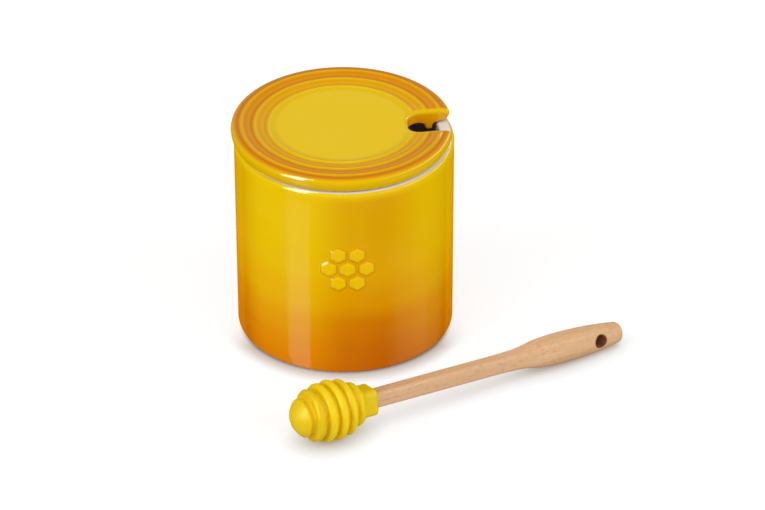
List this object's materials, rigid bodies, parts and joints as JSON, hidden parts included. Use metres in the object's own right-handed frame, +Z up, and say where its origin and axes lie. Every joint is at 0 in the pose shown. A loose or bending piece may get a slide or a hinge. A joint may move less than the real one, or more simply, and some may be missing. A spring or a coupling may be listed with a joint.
{
  "type": "honey pot",
  "caption": "Round stoneware honey pot with a lift-off ridged lid, notched for a dipper, and a ribbed silicone dipper on a beech handle.",
  "frame": {"origin": "on the surface that the pot stands on, under the pot's axis", "axes": "+Z up along the pot's axis, +X to the right as the front is looked at, +Y away from the front; the notch in the lid is on the +X side and the raised honeycomb on the -Y side"},
  "size_m": [0.1796, 0.1672, 0.1048],
  "materials": {
    "pot_glaze": "glossy",
    "lid_glaze": "glossy",
    "silicone": "satin",
    "beech": "satin"
  },
  "bodies": {
    "pot": {"pot": "pot_glaze"},
    "lid": {"lid": "lid_glaze"},
    "dipper": {"dipper_handle": "beech"},
    "dipper_head": {"dipper_head": "silicone"}
  },
  "joints": [
    {"name": "lid_lift", "type": "slide", "parent": "pot", "child": "lid", "axis": [0, 0, 1], "range_m": [0, 0.12]},
    {"name": "dipper_lift", "type": "slide", "parent": "pot", "child": "dipper", "axis": [0, 0, 1], "range_m": [0, 0.15]},
    {"name": "dipper_head_pull", "type": "slide", "parent": "dipper", "child": "dipper_head", "axis": [-0.8716, -0.4871, 0.0552], "range_m": [0, 0.03]}
  ]
}
